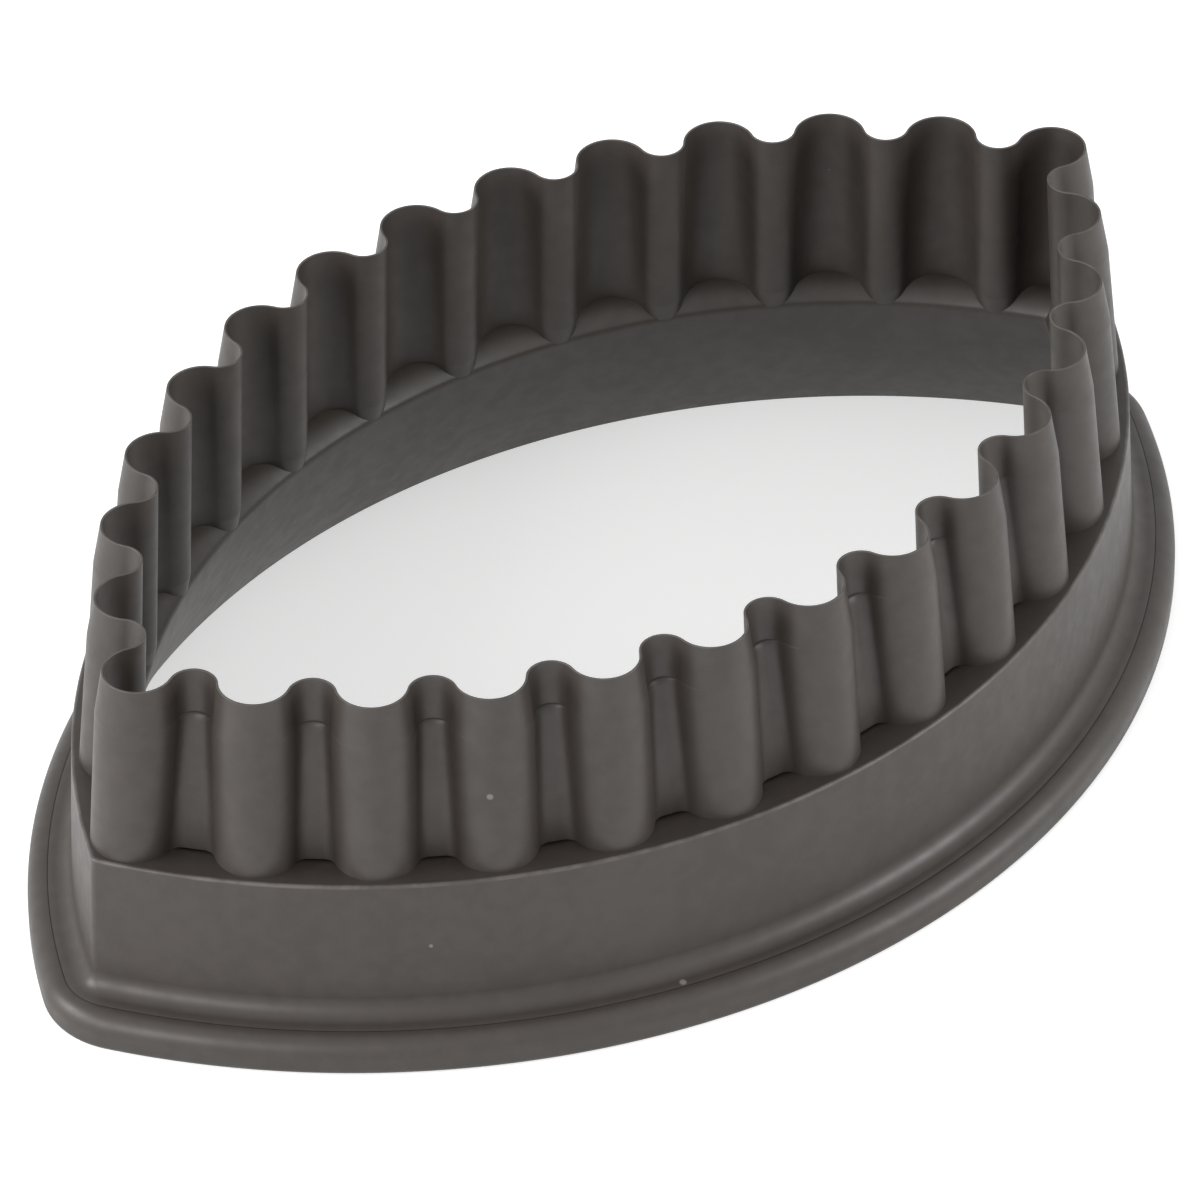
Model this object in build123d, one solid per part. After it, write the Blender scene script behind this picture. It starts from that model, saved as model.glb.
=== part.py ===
from build123d import *
import os
from math import acos, asin, atan2, cos, degrees, sin, sqrt
from typing import NamedTuple

# Fluted pastry cutter with a pointed-oval outline, in millimetres.
# It is a moulded ring, drawn as its four regions stacked face to face: a flange to press
# on, a plain skirt that ends in a ledge, the fluted wall, and the bevelled cutting lip.
# X runs from point to point and Y across. The origin is the middle of the underside.
# Every plan outline is a lens of two equal arcs, with centres at (0, -c) and (0, +c).
# A radius here is measured from the centre of the arc that it belongs to.

# Outline on the middle line of the flutes' inner face
OUTLINE_LENGTH = 107.0
OUTLINE_WIDTH = 61.9

# Heights above the underside
CUTTING_EDGE_HEIGHT = 34.0
LIP_HEIGHT = 4.0
LEDGE_HEIGHT = 17.0
FLANGE_HEIGHT = 5.2

# Flutes on the inner face: crests stand outwards, and ridges stand into the opening
FLUTE_PITCH = 9.9
FIRST_FLUTE_INSET = 10.2
DEPTH_AT_EDGE = 3.88
DEPTH_AT_LEDGE = 2.95
INNER_SPREAD = 0.25
RIDGE_RADIUS = 2.1
POINT_FLUTE_BULGE = 0.33

# Fluted wall on the outer face, with a level floor in each groove
EDGE_THICKNESS = 0.18
WALL_THICKNESS = 0.95
ROOT_THICKNESS = 2.25
CREST_RADIUS = 3.65
GROOVE_CORNER_RADIUS = 1.2

# Grooves of the lip, which are cut deeper than the wall's below them
LIP_GROOVE_THICKNESS = 0.55
LIP_GROOVE_RADIUS = 1.5

# Skirt, and the opening that widens inside it from the flutes to the mouth
LEDGE_WIDTH = 0.65
SKIRT_SPREAD = 0.45
MOUTH_POINT_INSET = 2.14
MOUTH_SIDE_INSET = 3.77
BORE_START_SLOPE = 0.15
BORE_SECTIONS = 4

# Shoulder at the foot of each inner hollow, which slopes down into the opening
SHOULDER_DROP = 1.7
SHOULDER_BULGE = 0.35

# Flange section, from the skirt outwards
FLANGE_ROOT_RADIUS = 1.7
STEP_WIDTH = 0.35
STEP_FALL = 0.1
RIM_WIDTH = 1.8
RIM_RADIUS = 1.7
FOOT_RADIUS = 0.6
POINT_ROUND_INSET = 4.2

# The lens behind every outline but the mouth's
half_length = OUTLINE_LENGTH / 2
half_width = OUTLINE_WIDTH / 2
line_radius = (half_length**2 + half_width**2) / (2 * half_width)
centre_offset = line_radius - half_width
half_angle = acos(centre_offset / line_radius)

# Count of the flutes on a side, and their angles about their arc's centre
crest_run = 2 * half_angle * line_radius - 2 * FIRST_FLUTE_INSET
flutes_per_side = round(crest_run / FLUTE_PITCH) + 1
pitch_angle = crest_run / (flutes_per_side - 1) / line_radius
first_crest_angle = FIRST_FLUTE_INSET / line_radius - half_angle

lip_base = CUTTING_EDGE_HEIGHT - LIP_HEIGHT


class Level(NamedTuple):
    """A fluted outline at one height: reach of the crests, ridges and points, and its arcs.

    Without a crest radius, the crests are tangent to the ridges beside them and a ridge
    is one arc. With one, a groove has a level floor between two corner arcs.
    """

    height: float
    crest: float
    ridge: float
    point: float
    ridge_radius: float
    crest_radius: float | None = None


def inner_level(height):
    """The opening's fluted outline, whose depth changes evenly from the ledge to the edge."""
    share = (CUTTING_EDGE_HEIGHT - height) / (CUTTING_EDGE_HEIGHT - LEDGE_HEIGHT)
    depth = DEPTH_AT_EDGE + share * (DEPTH_AT_LEDGE - DEPTH_AT_EDGE)
    middle = line_radius + share * INNER_SPREAD
    crest = middle + depth / 2
    return Level(
        height=height,
        crest=crest,
        ridge=middle - depth / 2,
        point=half_length + (crest - line_radius) + POINT_FLUTE_BULGE,
        ridge_radius=RIDGE_RADIUS,
    )


def lip_level(height, crest_thickness, groove_thickness, ridge_radius):
    """The outside of the lip at a height, with rounded grooves."""
    inner = inner_level(height)
    return Level(
        height=height,
        crest=inner.crest + crest_thickness,
        ridge=inner.ridge + groove_thickness,
        point=inner.point + crest_thickness,
        ridge_radius=ridge_radius,
    )


def wall_level(height, thickness):
    """The outside of the fluted wall at a height, with level-floored grooves."""
    inner = inner_level(height)
    return Level(
        height=height,
        crest=inner.crest + thickness,
        ridge=inner.ridge + thickness,
        point=inner.point + thickness,
        ridge_radius=GROOVE_CORNER_RADIUS,
        crest_radius=CREST_RADIUS,
    )


def polar(radius, angle):
    """A point at an angle from the Y axis about the far side's arc centre."""
    return Vector(radius * sin(angle), radius * cos(angle) - centre_offset)


def crest_radius(level):
    """Radius of a crest arc that is tangent to the ridge arcs on both sides of it."""
    ridge_centre = level.ridge + level.ridge_radius
    along = ridge_centre * cos(pitch_angle / 2)
    square = level.crest**2 + ridge_centre**2 - 2 * level.crest * along - level.ridge_radius**2
    return square / (2 * (level.crest - along + level.ridge_radius))


def point_radius(level):
    """Radius of a point flute that is tangent to the last ridge of either side."""
    centre = polar(level.ridge + level.ridge_radius, first_crest_angle - pitch_angle / 2)
    gap = level.point - abs(centre.X)
    square = gap**2 + centre.Y**2 - level.ridge_radius**2
    return square / (2 * (gap + level.ridge_radius))


def corner_angle(distance, radius, level):
    """Angle at the arc's centre from a crest circle's centre to the groove corner beside it."""
    corner = level.ridge + level.ridge_radius
    reach = radius + level.ridge_radius
    return acos((distance**2 + corner**2 - reach**2) / (2 * distance * corner))


def side_stops(level):
    """Arcs of the far side's outline, from its first ridge to its last, as passing points.

    Each stop is (joint, middle): where an arc starts and a point halfway along it.
    """
    stops = []
    corner = level.ridge + level.ridge_radius
    point = level.crest_radius or point_radius(level)
    crest = level.crest_radius or crest_radius(level)
    ends = [Vector(-(level.point - point), 0), Vector(level.point - point, 0)]
    point_angle = atan2(ends[1].X, centre_offset)
    point_corner = corner_angle(sqrt(ends[1].X ** 2 + centre_offset**2), point, level)
    half_crest = corner_angle(level.crest - crest, crest, level)
    corner_pairs = [(-point_angle + point_corner, first_crest_angle - half_crest)]
    for index in range(1, flutes_per_side):
        before = first_crest_angle + (index - 1) * pitch_angle
        corner_pairs.append((before + half_crest, before + pitch_angle - half_crest))
    corner_pairs.append((-first_crest_angle + half_crest, point_angle - point_corner))
    angles = [first_crest_angle + index * pitch_angle for index in range(flutes_per_side)]
    crests = [ends[0], *(polar(level.crest - crest, angle) for angle in angles), ends[1]]
    radii = [point] + [crest] * flutes_per_side + [point]
    for index, (left, right) in enumerate(corner_pairs):
        left_crest, right_crest = crests[index], crests[index + 1]
        left_share = radii[index] / (radii[index] + level.ridge_radius)
        right_share = radii[index + 1] / (radii[index + 1] + level.ridge_radius)
        left_centre, right_centre = polar(corner, left), polar(corner, right)
        start = left_crest + (left_centre - left_crest) * left_share
        end = right_crest + (right_centre - right_crest) * right_share
        if level.crest_radius:
            floor_start, floor_end = polar(level.ridge, left), polar(level.ridge, right)
            stops.append((start, arc_middle(left_centre, level.ridge_radius, start, floor_start)))
            stops.append((floor_start, polar(level.ridge, (left + right) / 2)))
            stops.append((floor_end, arc_middle(right_centre, level.ridge_radius, floor_end, end)))
        else:
            stops.append((start, polar(level.ridge, (left + right) / 2)))
        if index < flutes_per_side:
            stops.append((end, polar(level.crest, first_crest_angle + index * pitch_angle)))
        else:
            stops.append((end, Vector(level.point, 0)))
    return stops


def arc_middle(centre, radius, start, end):
    """The point halfway along a short arc between two points about a centre."""
    return centre + ((start + end) / 2 - centre).normalized() * radius


def fluted_face(level):
    """The face inside a closed fluted outline of tangent arcs."""
    half = side_stops(level)
    stops = half + [(-joint, -middle) for joint, middle in half]
    arcs = []
    for index, (joint, middle) in enumerate(stops):
        following = stops[(index + 1) % len(stops)][0]
        arcs.append(ThreePointArc(joint, middle, following))
    return Pos(0, 0, level.height) * Face(Wire(arcs))


def fluted_ring(outer_base, outer_top):
    """A fluted wall between two levels, hollowed by the opening's own outline."""
    outside = loft([fluted_face(outer_base), fluted_face(outer_top)], ruled=True)
    inner_base, inner_top = inner_level(outer_base.height), inner_level(outer_top.height)
    inside = loft([fluted_face(inner_base), fluted_face(inner_top)], ruled=True)
    return outside - inside


def lens_solid(section):
    """The lens-shaped solid whose two sides are the section turned about their arc centres."""
    disc = revolve(section, Axis.Z)
    return Pos(0, -centre_offset, 0) * disc & Pos(0, centre_offset, 0) * disc


def lens_face(length, width, height):
    """The face inside a lens of a length and a width, at a height."""
    left, right = (-length / 2, 0), (length / 2, 0)
    far_side = ThreePointArc(left, (0, width / 2), right)
    near_side = ThreePointArc(right, (0, -width / 2), left)
    return Pos(0, 0, height) * Face(Wire([far_side, near_side]))


# Radii of the plain rings, tied to the fluted wall that stands on them
ledge_radius = wall_level(LEDGE_HEIGHT, ROOT_THICKNESS).crest + LEDGE_WIDTH
skirt_foot_radius = ledge_radius + SKIRT_SPREAD
flange_radius = skirt_foot_radius + FLANGE_ROOT_RADIUS + STEP_WIDTH + RIM_WIDTH
bore_radius = inner_level(LEDGE_HEIGHT).ridge
bore_width = 2 * (bore_radius - centre_offset)
bore_length = 2 * sqrt(bore_radius**2 - centre_offset**2)

# Round turn of the flange at each point, and the mouth, set in from the flange's rim
corner_radius = skirt_foot_radius - POINT_ROUND_INSET
corner_reach = sqrt(corner_radius**2 - centre_offset**2)
mouth_length = 2 * (corner_reach + flange_radius - corner_radius - MOUTH_POINT_INSET)
mouth_width = 2 * (flange_radius - centre_offset - MOUTH_SIDE_INSET)


def bore_solid():
    """The opening below the flutes, which widens in one long curve down to the mouth."""
    widening = (mouth_width - bore_width) / 2
    bend = (widening - BORE_START_SLOPE * LEDGE_HEIGHT) / LEDGE_HEIGHT**2
    faces = []
    for index in range(BORE_SECTIONS):
        drop = LEDGE_HEIGHT * index / (BORE_SECTIONS - 1)
        share = (BORE_START_SLOPE * drop + bend * drop**2) / widening
        length = bore_length + share * (mouth_length - bore_length)
        width = bore_width + share * (mouth_width - bore_width)
        faces.append(lens_face(length, width, LEDGE_HEIGHT - drop))
    return loft(faces)


def flange_section(inner, shift):
    """Half section of the flange, from an inner radius, with the skirt's foot moved by a shift."""
    foot = skirt_foot_radius - shift
    step_start = foot + FLANGE_ROOT_RADIUS
    crease = step_start + STEP_WIDTH
    rim = crease + RIM_WIDTH
    step_height = FLANGE_HEIGHT - FLANGE_ROOT_RADIUS
    crease_height = step_height - STEP_FALL
    root_middle = FLANGE_ROOT_RADIUS * (1 - sqrt(0.5))
    outline = [
        Polyline((inner, 0), (inner, FLANGE_HEIGHT), (foot, FLANGE_HEIGHT)),
        ThreePointArc(
            (foot, FLANGE_HEIGHT),
            (foot + root_middle, step_height + root_middle),
            (step_start, step_height),
        ),
        Line((step_start, step_height), (crease, crease_height)),
        FilletPolyline(
            (crease, crease_height),
            (rim, crease_height),
            (rim, 0),
            (inner, 0),
            radius=[RIM_RADIUS, FOOT_RADIUS],
        ),
    ]
    return Plane.XZ * make_face(outline)


def build_flange():
    """The flange: an arc of section along each side, joined by a round turn at each point.

    A plug of the skirt's own outline carries the skirt's sharp ridge across the round turn.
    """
    sweep = degrees(acos(centre_offset / corner_radius))
    turn = degrees(asin(centre_offset / corner_radius))
    arc = revolve(flange_section(corner_radius, 0), Axis.Z, 2 * sweep)
    far_side = Pos(0, -centre_offset, 0) * Rot(0, 0, 90 - sweep) * arc
    corner = revolve(flange_section(0, corner_radius), Axis.Z, 2 * turn)
    right_end = Pos(corner_reach, 0, 0) * Rot(0, 0, -turn) * corner
    plug_section = Polyline(
        (0, 0),
        (0, FLANGE_HEIGHT),
        (skirt_foot_radius, FLANGE_HEIGHT),
        (skirt_foot_radius, 0),
        close=True,
    )
    plug = lens_solid(Plane.XZ * make_face(plug_section))
    body = far_side + right_end + Rot(0, 0, 180) * far_side + Rot(0, 0, 180) * right_end
    return body + plug - bore_solid()


def hollow_shoulders():
    """What is cut at the foot of the hollows: between two ridges the opening slopes in."""
    low = LEDGE_HEIGHT - SHOULDER_DROP
    start = (bore_radius + BORE_START_SLOPE * SHOULDER_DROP, low)
    end = (inner_level(LEDGE_HEIGHT).crest, LEDGE_HEIGHT)
    run, rise = end[0] - start[0], end[1] - start[1]
    bulge = SHOULDER_BULGE / sqrt(run**2 + rise**2)
    middle = (start[0] + run / 2 - rise * bulge, low + rise / 2 + run * bulge)
    slope = [
        Polyline(end, (0, LEDGE_HEIGHT), (0, low), start),
        ThreePointArc(start, middle, end),
    ]
    hollows = extrude(fluted_face(inner_level(LEDGE_HEIGHT)), -SHOULDER_DROP)
    return lens_solid(Plane.XZ * make_face(slope)) & hollows


def build_skirt():
    """The plain skirt between the flange and the ledge, with a sharp ridge at each point.

    Inside, the feet of the flutes' ridges stand between the hollows' shoulders.
    """
    section = Polyline(
        (0, FLANGE_HEIGHT),
        (skirt_foot_radius, FLANGE_HEIGHT),
        (ledge_radius, LEDGE_HEIGHT),
        (0, LEDGE_HEIGHT),
        close=True,
    )
    return lens_solid(Plane.XZ * make_face(section)) - bore_solid() - hollow_shoulders()


def build_fluted_wall():
    """The fluted wall, thick at the ledge and drafted towards the lip."""
    return fluted_ring(wall_level(LEDGE_HEIGHT, ROOT_THICKNESS), wall_level(lip_base, WALL_THICKNESS))


def build_cutting_lip():
    """The top of the flutes, bevelled on the outside to a thin cutting edge."""
    base = lip_level(lip_base, WALL_THICKNESS, LIP_GROOVE_THICKNESS, LIP_GROOVE_RADIUS)
    edge_ridge = RIDGE_RADIUS - EDGE_THICKNESS
    edge = lip_level(CUTTING_EDGE_HEIGHT, EDGE_THICKNESS, EDGE_THICKNESS, edge_ridge)
    return fluted_ring(base, edge)


nodes = {
    "base_flange": build_flange(),
    "skirt": build_skirt(),
    "fluted_wall": build_fluted_wall(),
    "cutting_lip": build_cutting_lip(),
}

os.makedirs("parts", exist_ok=True)
for name, shape in nodes.items():
    export_step(shape, f"parts/{name}.step")
    box = shape.bounding_box()
    print(f"{name}: {len(shape.solids())} solid, {shape.volume:.1f} mm3, size {box.size}")
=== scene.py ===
"""Looks of a moulded pastry cutter: a fluted, pointed-oval ring on a press flange.

Lengths are in metres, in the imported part's own frame: X runs from point to point, Y
across and Z up, with the origin in the middle of the underside. A radius is measured
from the centre of the arc it belongs to, as in the part's source.
"""

import logging
import math
from dataclasses import dataclass, replace
from enum import Enum
from typing import Callable, Sequence

import bpy
import numpy as np
from mathutils import Matrix, Vector


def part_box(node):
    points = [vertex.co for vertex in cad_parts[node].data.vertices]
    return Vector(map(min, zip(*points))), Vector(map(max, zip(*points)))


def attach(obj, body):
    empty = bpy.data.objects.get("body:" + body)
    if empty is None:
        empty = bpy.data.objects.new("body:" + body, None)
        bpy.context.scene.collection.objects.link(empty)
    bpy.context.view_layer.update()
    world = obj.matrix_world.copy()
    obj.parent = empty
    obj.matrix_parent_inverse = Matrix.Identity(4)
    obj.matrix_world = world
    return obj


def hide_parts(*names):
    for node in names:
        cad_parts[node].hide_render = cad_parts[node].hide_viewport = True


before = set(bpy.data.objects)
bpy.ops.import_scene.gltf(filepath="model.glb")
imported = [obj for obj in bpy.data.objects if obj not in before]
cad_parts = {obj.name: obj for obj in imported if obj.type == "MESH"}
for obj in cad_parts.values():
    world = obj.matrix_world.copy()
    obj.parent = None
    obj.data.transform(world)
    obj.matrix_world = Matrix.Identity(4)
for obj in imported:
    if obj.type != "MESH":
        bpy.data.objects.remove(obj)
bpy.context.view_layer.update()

log = logging.getLogger("cutter")

MM = 0.001
BODY = "root"
# Point attribute of the edges that the finish lightens: rubbing, and a painted highlight along the
# ledge's soft edge.
WEAR_AND_HIGHLIGHT = "edge_wear"
FULL_WEAR_AND_HIGHLIGHT = 1.0
CREASE_ANGLE = math.radians(35)
WHITE = (1.0, 1.0, 1.0, 1.0)


class Node(Enum):
    """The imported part's nodes, from the underside up."""

    FLANGE = "base_flange"
    SKIRT = "skirt"
    WALL = "fluted_wall"
    LIP = "cutting_lip"


def node_top(node: Node) -> float:
    """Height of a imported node's top face."""
    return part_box(node.value)[1].z


@dataclass(frozen=True)
class Lens:
    """The pointed oval behind every outline but the mouth's: two equal arcs."""

    length: float = 107.0 * MM
    width: float = 61.9 * MM

    @property
    def line_radius(self) -> float:
        """Radius of each arc on the middle line of the flutes' inner face."""
        return ((self.length / 2) ** 2 + (self.width / 2) ** 2) / self.width

    @property
    def centre_offset(self) -> float:
        """Distance of each arc's centre from the X axis."""
        return self.line_radius - self.width / 2

    @property
    def half_angle(self) -> float:
        """Angle from the Y axis to a point, seen from an arc's centre."""
        return math.acos(self.centre_offset / self.line_radius)

    def reach(self, radius: float) -> float:
        """Half length of the lens whose sides have a radius about these centres."""
        return math.sqrt(radius**2 - self.centre_offset**2)


@dataclass(frozen=True)
class Outline:
    """A plain lens outline with a round turn at each point."""

    half_length: float
    half_width: float
    corner: float
    side_steps: int = 170
    corner_steps: int = 16

    def points(self) -> np.ndarray:
        """Draws the outline.

        Returns:
            Plan points, clockwise from the left end of the far side.
        """
        radius = (self.half_length**2 + self.half_width**2) / (2 * self.half_width)
        offset = radius - self.half_width
        reach = math.sqrt((radius - self.corner) ** 2 - offset**2)
        sweep = math.acos(offset / (radius - self.corner))
        side = arc_points(Vector((0.0, -offset)), radius, -sweep, sweep, self.side_steps)
        corner = arc_points(
            Vector((reach, 0.0)), self.corner, sweep, math.pi - sweep, self.corner_steps
        )
        half = np.concatenate([side, corner[1:-1]])
        return np.concatenate([half, -half])


def arc_points(
    centre: Vector, radius: float, start: float, end: float, steps: int
) -> np.ndarray:
    """Points along an arc, with angles measured from the Y axis towards X.

    Args:
        centre: centre of the arc.
        radius: radius of the arc.
        start: angle of the first point.
        end: angle of the last point.
        steps: number of equal steps between them.

    Returns:
        Plan points, one more than the steps.
    """
    angles = np.linspace(start, end, steps + 1)
    return np.stack(
        [centre.x + radius * np.sin(angles), centre.y + radius * np.cos(angles)], axis=1
    )


@dataclass(frozen=True)
class Level:
    """A fluted outline at one height: reach of the crests, ridges and points, and its arcs.

    Without a crest radius, the crests are tangent to the ridges beside them and a ridge
    is one arc. With one, a groove has a level floor between two corner arcs.
    """

    crest: float
    ridge: float
    point: float
    ridge_radius: float
    crest_radius: float | None = None

    def outwards(self, distance: float) -> "Level":
        """The same outline, moved outwards.

        Args:
            distance: how far it moves.

        Returns:
            The moved outline.
        """
        return replace(
            self,
            crest=self.crest + distance,
            ridge=self.ridge + distance,
            point=self.point + distance,
        )


@dataclass(frozen=True)
class Flutes:
    """Layout and depth of the flutes, as in the part's source."""

    lens: Lens
    ledge_height: float
    edge_height: float
    per_side: int = 12
    point_to_first: float = 10.2 * MM
    depth_at_edge: float = 3.88 * MM
    depth_at_ledge: float = 2.95 * MM
    inner_draft: float = 0.25 * MM
    ridge_radius: float = 2.1 * MM
    point_extra: float = 0.33 * MM
    crest_arc: float = 3.65 * MM
    groove_corner: float = 1.2 * MM
    floor_steps: int = 3
    corner_steps: int = 8
    crest_steps: int = 13

    @property
    def pitch_angle(self) -> float:
        """Angle from one crest to the next, seen from the arc's centre.

        Returns:
            The angle, in radians.
        """
        lens = self.lens
        run = 2 * lens.half_angle * lens.line_radius - 2 * self.point_to_first
        return run / (self.per_side - 1) / lens.line_radius

    @property
    def first_angle(self) -> float:
        """Angle of the first crest from the Y axis, on the side of the left point."""
        return self.point_to_first / self.lens.line_radius - self.lens.half_angle

    def inner(self, height: float) -> Level:
        """The opening's own fluted outline.

        Args:
            height: height between the ledge and the cutting edge.

        Returns:
            The outline at that height.
        """
        share = (self.edge_height - height) / (self.edge_height - self.ledge_height)
        depth = self.depth_at_edge + share * (self.depth_at_ledge - self.depth_at_edge)
        middle = self.lens.line_radius + share * self.inner_draft
        crest = middle + depth / 2
        return Level(
            crest=crest,
            ridge=middle - depth / 2,
            point=self.lens.length / 2 + crest - self.lens.line_radius + self.point_extra,
            ridge_radius=self.ridge_radius,
        )

    def lip(self, height: float, crest: float, groove: float, radius: float) -> Level:
        """The outside of the lip, with a round groove between two crests.

        Args:
            height: height of the outline.
            crest: thickness of the lip at a crest.
            groove: thickness of the lip at the bottom of a groove.
            radius: radius of a groove.

        Returns:
            The outline at that height.
        """
        inner = self.inner(height)
        return Level(inner.crest + crest, inner.ridge + groove, inner.point + crest, radius)

    def wall(self, height: float, thickness: float) -> Level:
        """The outside of the fluted wall, with a level floor in each groove.

        Args:
            height: height of the outline.
            thickness: thickness of the wall there.

        Returns:
            The outline at that height.
        """
        inner = self.inner(height)
        return Level(
            crest=inner.crest + thickness,
            ridge=inner.ridge + thickness,
            point=inner.point + thickness,
            ridge_radius=self.groove_corner,
            crest_radius=self.crest_arc,
        )

    def crest_radius(self, level: Level) -> float:
        """Radius of a level's crest arcs.

        Args:
            level: the outline.

        Returns:
            Its own crest radius, or the one that makes the crests tangent to the ridges.
        """
        if level.crest_radius:
            return level.crest_radius
        centre = level.ridge + level.ridge_radius
        along = centre * math.cos(self.pitch_angle / 2)
        square = level.crest**2 + centre**2 - 2 * level.crest * along - level.ridge_radius**2
        return square / (2 * (level.crest - along + level.ridge_radius))

    def point_radius(self, level: Level) -> float:
        """Radius of a level's point flutes.

        Args:
            level: the outline.

        Returns:
            Its own crest radius, or the one that makes the points tangent to the ridges.
        """
        if level.crest_radius:
            return level.crest_radius
        centre = self.polar(level.ridge + level.ridge_radius, self.last_ridge)
        gap = level.point - centre.x
        square = gap**2 + centre.y**2 - level.ridge_radius**2
        return square / (2 * (gap + level.ridge_radius))

    @property
    def last_ridge(self) -> float:
        """Angle of the ridge between the last crest of the far side and the right point."""
        return self.pitch_angle / 2 - self.first_angle

    def polar(self, radius: float, angle: float) -> Vector:
        """A plan point about the far side's arc centre.

        Args:
            radius: distance from the centre.
            angle: angle from the Y axis towards X.

        Returns:
            The point.
        """
        return Vector(
            (radius * math.sin(angle), radius * math.cos(angle) - self.lens.centre_offset)
        )

    @staticmethod
    def corner_angle(distance: float, radius: float, level: Level) -> float:
        """Angle at the arc's centre from a crest circle's centre to the corner beside it.

        Args:
            distance: distance of the crest circle's centre from the arc's centre.
            radius: radius of the crest circle.
            level: outline that the two belong to.

        Returns:
            The angle, in radians.
        """
        corner = level.ridge + level.ridge_radius
        square = distance**2 + corner**2 - (radius + level.ridge_radius) ** 2
        return math.acos(square / (2 * distance * corner))

    def side_line(self, level: Level) -> np.ndarray:
        """One flute from ridge to ridge, with its arc's centre at the origin and its crest on Y.

        Args:
            level: the outline.

        Returns:
            Plan points, from left to right.
        """
        radius = self.crest_radius(level)
        crest_centre = Vector((0.0, level.crest - radius))
        turn = self.corner_angle(crest_centre.y, radius, level)
        corner = level.ridge + level.ridge_radius
        corner_centre = Vector((corner * math.sin(turn), corner * math.cos(turn)))
        gap = corner_centre - crest_centre
        lean = math.atan2(gap.x, gap.y)
        crest = arc_points(crest_centre, radius, 0.0, lean, self.crest_steps)
        end = math.pi + turn
        if level.crest_radius:
            bend = arc_points(
                corner_centre, level.ridge_radius, math.pi + lean, end, self.corner_steps
            )
            floor = arc_points(
                Vector((0.0, 0.0)), level.ridge, turn, self.pitch_angle / 2, self.floor_steps
            )
            half = np.concatenate([crest, bend[1:], floor[1:]])
        else:
            steps = self.corner_steps + self.floor_steps
            bend = arc_points(corner_centre, level.ridge_radius, math.pi + lean, end, steps)
            half = np.concatenate([crest, bend[1:]])
        mirrored = half[:0:-1] * np.array([-1.0, 1.0])
        return np.concatenate([mirrored, half])

    def point_line(self, level: Level) -> np.ndarray:
        """The flute at the right point.

        Args:
            level: the outline.

        Returns:
            Plan points, from the far side's last ridge to the near side's.
        """
        radius = self.point_radius(level)
        crest_centre = Vector((level.point - radius, 0.0))
        offset = self.lens.centre_offset
        about = math.atan2(crest_centre.x, offset)
        distance = math.hypot(crest_centre.x, offset)
        turn = about - self.corner_angle(distance, radius, level)
        corner_centre = self.polar(level.ridge + level.ridge_radius, turn)
        gap = corner_centre - crest_centre
        lean = math.atan2(gap.x, gap.y)
        crest = arc_points(crest_centre, radius, lean, math.pi / 2, self.crest_steps)
        start = math.pi + turn
        if level.crest_radius:
            bend = arc_points(
                corner_centre, level.ridge_radius, start, math.pi + lean, self.corner_steps
            )
            floor = arc_points(
                Vector((0.0, -offset)), level.ridge, self.last_ridge, turn, self.floor_steps
            )
            half = np.concatenate([floor[:-1], bend[:-1], crest])
        else:
            steps = self.corner_steps + self.floor_steps
            bend = arc_points(corner_centre, level.ridge_radius, start, math.pi + lean, steps)
            half = np.concatenate([bend[:-1], crest])
        mirrored = half[-2::-1] * np.array([1.0, -1.0])
        return np.concatenate([half, mirrored])


@dataclass(frozen=True)
class Corner:
    """A corner of a section: its place, the radius that rounds it, and how far the finish lightens
    it, for rubbing and as a painted highlight.
    """

    across: float
    height: float
    radius: float = 0.0
    wear_and_highlight: float = 0.0


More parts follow.
